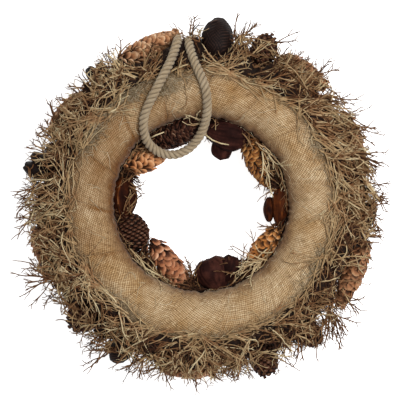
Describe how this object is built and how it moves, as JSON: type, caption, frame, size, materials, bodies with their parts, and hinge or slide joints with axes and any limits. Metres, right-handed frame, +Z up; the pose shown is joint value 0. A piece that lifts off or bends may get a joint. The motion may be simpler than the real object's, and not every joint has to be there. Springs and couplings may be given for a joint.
{
  "type": "dried cone and twig wreath",
  "caption": "Dried natural wreath: a straw ring wound with burlap, edged with cones, seed pods and forked twigs, with a rope hanging loop, lying on its face.",
  "frame": {"origin": "on the surface that the wreath lies on, under the middle of its outline", "axes": "+Z up along the axis of the wreath's hole, out of its burlap back; +Y towards the rope loop's ends, which are the wreath's top when it hangs; +X to the right in the picture"},
  "size_m": [0.4049, 0.3962, 0.1071],
  "materials": {
    "burlap": "matte",
    "straw": "matte",
    "jute_rope": "matte",
    "spruce_scale": "matte",
    "pine_scale": "matte",
    "black_husk": "matte",
    "red_brown_husk": "satin",
    "twig_bark": "matte"
  },
  "bodies": {
    "root": {"burlap_wrap": "burlap", "fluted_pod_face_1": "black_husk", "fluted_pod_outer_1": "black_husk", "fluted_pod_outer_2": "black_husk", "pine_cone_face_1": "pine_scale", "pine_cone_face_2": "pine_scale", "pine_cone_face_3": "pine_scale", "pine_cone_inner_1": "pine_scale", "pine_cone_inner_2": "pine_scale", "pine_cone_outer_1": "pine_scale", "pine_cone_outer_2": "pine_scale", "pine_cone_outer_3": "pine_scale", "pine_cone_outer_4": "pine_scale", "rope_loop": "jute_rope", "smooth_pod_face_1": "red_brown_husk", "smooth_pod_inner_1": "red_brown_husk", "smooth_pod_inner_2": "red_brown_husk", "smooth_pod_inner_3": "red_brown_husk", "smooth_pod_inner_4": "red_brown_husk", "smooth_pod_outer_1": "red_brown_husk", "smooth_pod_outer_2": "red_brown_husk", "smooth_pod_outer_3": "red_brown_husk", "spruce_cone_face_1": "spruce_scale", "spruce_cone_face_2": "spruce_scale", "spruce_cone_face_3": "spruce_scale", "spruce_cone_inner_1": "spruce_scale", "spruce_cone_inner_2": "spruce_scale", "spruce_cone_inner_3": "spruce_scale", "spruce_cone_inner_4": "spruce_scale", "spruce_cone_outer_1": "spruce_scale", "spruce_cone_outer_2": "spruce_scale", "spruce_cone_outer_3": "spruce_scale", "spruce_cone_outer_4": "spruce_scale", "spruce_cone_outer_5": "spruce_scale", "spruce_cone_outer_6": "spruce_scale", "spruce_cone_outer_7": "spruce_scale", "straw_ring": "straw", "twig_spray_inner_1": "twig_bark", "twig_spray_inner_2": "twig_bark", "twig_spray_inner_3": "twig_bark", "twig_spray_inner_4": "twig_bark", "twig_spray_inner_5": "twig_bark", "twig_spray_outer_1": "twig_bark", "twig_spray_outer_10": "twig_bark", "twig_spray_outer_11": "twig_bark", "twig_spray_outer_12": "twig_bark", "twig_spray_outer_13": "twig_bark", "twig_spray_outer_14": "twig_bark", "twig_spray_outer_15": "twig_bark", "twig_spray_outer_16": "twig_bark", "twig_spray_outer_2": "twig_bark", "twig_spray_outer_3": "twig_bark", "twig_spray_outer_4": "twig_bark", "twig_spray_outer_5": "twig_bark", "twig_spray_outer_6": "twig_bark", "twig_spray_outer_7": "twig_bark", "twig_spray_outer_8": "twig_bark", "twig_spray_outer_9": "twig_bark"}
  },
  "joints": []
}
